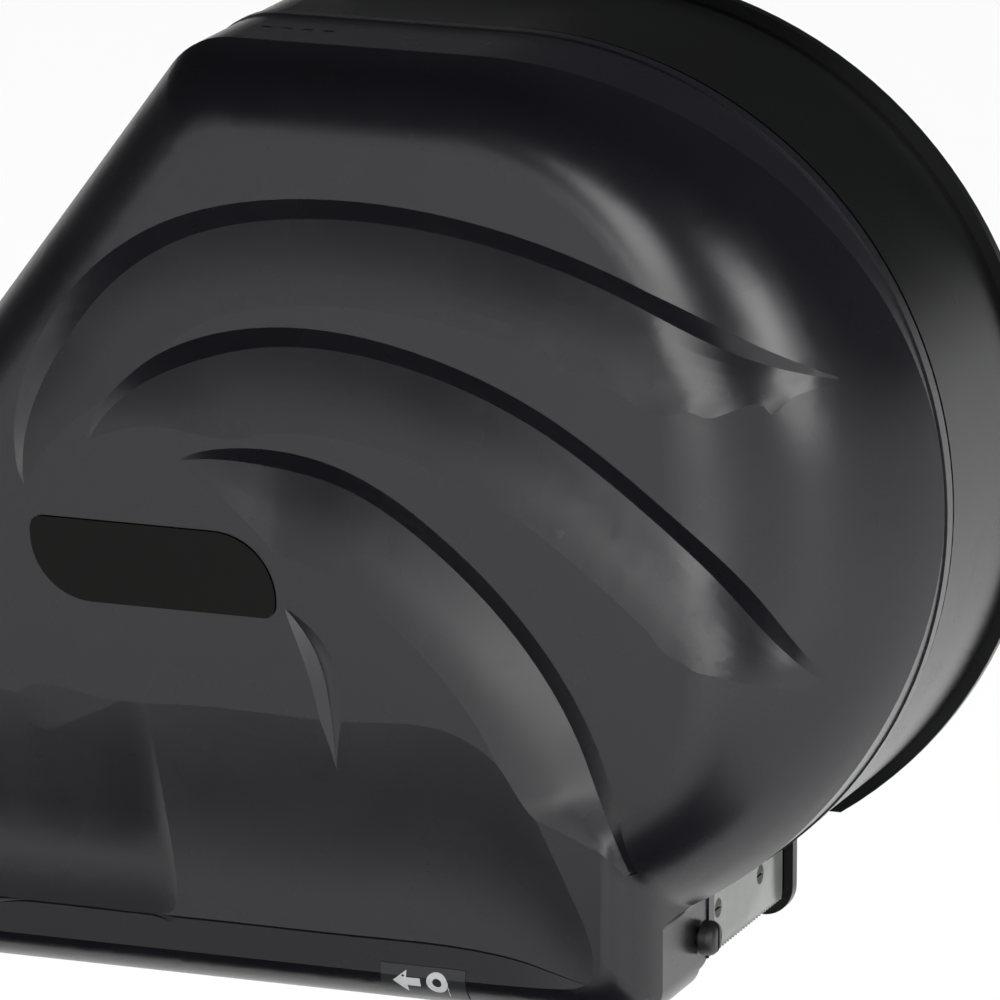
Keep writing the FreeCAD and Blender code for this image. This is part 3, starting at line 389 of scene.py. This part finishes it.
def select_edges(test):
    """In edit mode, selects the edges of the active mesh with both ends passing a test."""
    bpy.ops.mesh.select_all(action="DESELECT")
    bpy.ops.mesh.select_mode(type="EDGE")
    bpy.ops.object.mode_set(mode="OBJECT")
    mesh = bpy.context.object.data
    for edge in mesh.edges:
        edge.select = all(test(mesh.vertices[index].co) for index in edge.vertices)
    bpy.ops.object.mode_set(mode="EDIT")


def printed(name, material):
    """Lays the active flat shape on the sign plate and gives it the thickness of print."""
    sizes = bpy.context.scene.dispenser_sizes
    shape = bpy.context.object
    shape.name = name
    bpy.ops.object.mode_set(mode="EDIT")
    bpy.ops.mesh.select_all(action="SELECT")
    bpy.ops.mesh.quads_convert_to_tris()
    bpy.ops.mesh.subdivide(number_cuts=PRINT_CUTS)
    bpy.ops.object.mode_set(mode="OBJECT")
    wrap = shape.modifiers.new("on the plate", "SHRINKWRAP")
    wrap.target = NODES["sign_plate"]
    wrap.wrap_method = "PROJECT"
    wrap.use_project_x, wrap.use_project_y, wrap.use_project_z = False, True, False
    wrap.use_positive_direction, wrap.use_negative_direction = True, True
    bpy.ops.object.modifier_apply(modifier=wrap.name)
    solid = shape.modifiers.new("print", "SOLIDIFY")
    solid.thickness = sizes.print_thickness
    solid.offset = 1.0
    bpy.ops.object.modifier_apply(modifier=solid.name)
    shape.data.materials.clear()
    shape.data.materials.append(material)
    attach(shape, "cover")


class DISPENSER_OT_sign(bpy.types.Operator):
    """Finishes the sign plate and prints an arrow and a roll on it"""

    bl_idname = "dispenser.sign"
    bl_label = "Print the sign"

    def execute(self, context):
        colours = context.scene.dispenser_colours
        sizes = context.scene.dispenser_sizes
        # Dark vinyl: a smooth sheet with a dull sheen
        dress(
            grained_finish(
                "Dark vinyl, calendered", colours.sign, colours.sign, VINYL_ROUGHNESS, PRINT_GRAIN),
            "sign_plate",
        )
        # Screen ink: pale, dull and slightly grainy
        ink = grained_finish(
            "Pale screen ink, printed", colours.ink, colours.ink_light, INK_ROUGHNESS, PRINT_GRAIN)
        middle = (SIGN_LOW + SIGN_HIGH) / 2
        front = SIGN_LOW.y - PRINT_STANDOFF

        # Arrow that points left: a shaft, widened into a head and drawn to a tip
        head = sizes.arrow_length * HEAD_SHARE
        shaft_half = sizes.arrow_height * SHAFT_SHARE
        tip_x = SIGN_LOW.x + TIP_FROM_EDGE
        neck_x = tip_x + head
        end_x = tip_x + sizes.arrow_length
        bpy.ops.object.select_all(action="DESELECT")
        bpy.ops.mesh.primitive_plane_add(size=1, location=((neck_x + end_x) / 2, front, middle.z))
        shaft = context.object
        shaft.scale = (end_x - neck_x, 2 * shaft_half, 1)
        shaft.rotation_euler = (math.pi / 2, 0, 0)
        bpy.ops.object.transform_apply(location=True, rotation=True, scale=True)
        bpy.ops.object.mode_set(mode="EDIT")
        select_edges(lambda at: at.x < neck_x + PICK_MARGIN)
        bpy.ops.mesh.extrude_region_move(TRANSFORM_OT_translate={"value": (-HEAD_STEP, 0, 0)})
        bpy.ops.transform.resize(value=(1, 1, sizes.arrow_height / (2 * shaft_half)))
        bpy.ops.mesh.extrude_region_move(TRANSFORM_OT_translate={"value": (-head, 0, 0)})
        bpy.ops.mesh.merge(type="CENTER")
        bpy.ops.object.mode_set(mode="OBJECT")
        printed("sign_arrow", ink)

        # Roll seen from its end: a ring, with the paper's loose end hanging at its right
        roll_x = tip_x + ROLL_FROM_TIP
        roll_z = middle.z + ROLL_RAISE
        radius = sizes.roll_radius
        bpy.ops.object.select_all(action="DESELECT")
        bpy.ops.mesh.primitive_circle_add(
            vertices=RING_SIDES, radius=radius, fill_type="NGON", location=(roll_x, front, roll_z),
            rotation=(math.pi / 2, 0, 0))
        bpy.ops.object.transform_apply(location=True, rotation=True, scale=True)
        bpy.ops.object.mode_set(mode="EDIT")
        bpy.ops.mesh.select_all(action="SELECT")
        bpy.ops.mesh.inset(thickness=radius * RING_SHARE)
        bpy.ops.mesh.delete(type="FACE")
        side_x = roll_x + radius * TAIL_SIDE
        select_edges(lambda at: at.x > side_x and at.z < roll_z + TAIL_TOP * radius)
        bpy.ops.mesh.extrude_region_move(TRANSFORM_OT_translate={"value": (0, 0, -radius * TAIL_DROP)})
        bpy.ops.object.mode_set(mode="OBJECT")
        printed("sign_roll", ink)
        return {"FINISHED"}


class DISPENSER_OT_stage(bpy.types.Operator):
    """Lays the pale floor, hangs the lights and sets the camera"""

    bl_idname = "dispenser.stage"
    bl_label = "Set the stage"

    def execute(self, context):
        scene = context.scene
        colours = scene.dispenser_colours
        scene.view_settings.view_transform = "Standard"
        low_z = CAD_BOX[0][2] - scene.dispenser_sizes.floor_drop
        bpy.ops.object.select_all(action="DESELECT")
        bpy.ops.mesh.primitive_plane_add(size=FLOOR_SIZE, location=(0, 0, low_z))
        floor = context.object
        floor.name = "floor"
        matt_coat(floor, "Pale painted floor", colours.floor)

        # Dark flag below the front, hidden from the camera and casting no shadow: painted shade, which the
        # undersides of the steps mirror as dark reflections
        bpy.ops.object.select_all(action="DESELECT")
        bpy.ops.mesh.primitive_plane_add(size=1, location=(*FLAG_MIDDLE, low_z + FLAG_LIFT))
        flag = context.object
        flag.name = "flag"
        flag.scale = (*FLAG_SIZE, 1)
        bpy.ops.object.transform_apply(location=True, rotation=True, scale=True)
        # Painted shade: the flag's black only darkens what the steps mirror
        matt_coat(flag, "Black flag, painted shade", colours.shade_flag)
        flag.visible_camera = False
        flag.visible_shadow = False

        # Dim studio with a pale line of wall just above the floor
        world = bpy.data.worlds.new("studio")
        scene.world = world
        world.use_nodes = True
        sky = world.node_tree
        sky.nodes.clear()
        way = add(sky, "ShaderNodeTexCoord")
        parts = add(sky, "ShaderNodeSeparateXYZ", {"Vector": way.outputs["Generated"]})
        height = add(sky, "ShaderNodeMapRange", {
            "Value": parts.outputs["Z"], "From Min": WALL_LOW, "From Max": WALL_HIGH,
            "To Min": WALL_GLOW, "To Max": ROOM_GLOW})
        glow = add(sky, "ShaderNodeBackground", {
            "Color": linear(colours.glow), "Strength": height.outputs["Result"]})
        add(sky, "ShaderNodeOutputWorld", {"Surface": glow.outputs["Background"]})

        for name, azimuth, elevation, distance, size, radiance in SOFTBOXES:
            data = bpy.data.lights.new(name, "AREA")
            data.shape = "RECTANGLE"
            data.size, data.size_y = size
            data.energy = radiance * math.pi * size[0] * size[1]
            lamp = bpy.data.objects.new(name, data)
            lamp.location = LAMP_AIM + towards(azimuth, elevation) * distance
            lamp.rotation_mode = "QUATERNION"
            lamp.rotation_quaternion = (LAMP_AIM - lamp.location).to_track_quat("-Z", "Y")
            lamp.visible_camera = False
            scene.collection.objects.link(lamp)
        # The back light whitens the floor, and stays out of the reflections on the rounded top
        data = bpy.data.lights.new("back light", "SUN")
        data.energy = BACK_STRENGTH
        data.angle = math.radians(BACK_ANGLE)
        lamp = bpy.data.objects.new("back light", data)
        lamp.rotation_mode = "QUATERNION"
        lamp.rotation_quaternion = (-towards(BACK_AZIMUTH, BACK_ELEVATION)).to_track_quat("-Z", "Y")
        lamp.visible_glossy = False
        scene.collection.objects.link(lamp)

        eye = bpy.data.cameras.new("photograph")
        eye.sensor_width = EYE_SENSOR
        eye.lens = EYE_LENS
        eye.clip_end = EYE_REACH
        camera = bpy.data.objects.new("photograph", eye)
        back = towards(EYE_AZIMUTH, EYE_ELEVATION)
        camera.location = EYE_TARGET + back * EYE_DISTANCE
        camera.rotation_mode = "QUATERNION"
        camera.rotation_quaternion = (-back).to_track_quat("-Z", "Y")
        scene.collection.objects.link(camera)
        scene.camera = camera
        return {"FINISHED"}


class DISPENSER_PT_panel(bpy.types.Panel):
    """Lists the finishing steps"""

    bl_idname = "DISPENSER_PT_panel"
    bl_label = "Paper dispenser"
    bl_space_type = "VIEW_3D"
    bl_region_type = "UI"
    bl_category = "Dispenser"

    def draw(self, context):
        layout = self.layout
        for key in DispenserColours.__annotations__:
            layout.prop(context.scene.dispenser_colours, key)
        for key in DispenserSizes.__annotations__:
            layout.prop(context.scene.dispenser_sizes, key)
        for step in STEPS:
            layout.operator(step.bl_idname)


STEPS = (
    DISPENSER_OT_cover, DISPENSER_OT_housing, DISPENSER_OT_tear_bars, DISPENSER_OT_steel,
    DISPENSER_OT_sign, DISPENSER_OT_stage,
)
CLASSES = (DispenserColours, DispenserSizes) + STEPS + (DISPENSER_PT_panel,)


def register():
    """Registers the classes and hangs the settings on the scene."""
    for item in CLASSES:
        bpy.utils.register_class(item)
    bpy.types.Scene.dispenser_colours = bpy.props.PointerProperty(type=DispenserColours)
    bpy.types.Scene.dispenser_sizes = bpy.props.PointerProperty(type=DispenserSizes)


def unregister():
    """Takes away what register adds."""
    del bpy.types.Scene.dispenser_sizes
    del bpy.types.Scene.dispenser_colours
    for item in reversed(CLASSES):
        bpy.utils.unregister_class(item)


def main():
    """Runs every step in order."""
    register()
    bpy.ops.dispenser.cover()
    bpy.ops.dispenser.housing()
    bpy.ops.dispenser.tear_bars()
    bpy.ops.dispenser.steel()
    bpy.ops.dispenser.sign()
    bpy.ops.dispenser.stage()


if __name__ == "__main__":
    main()
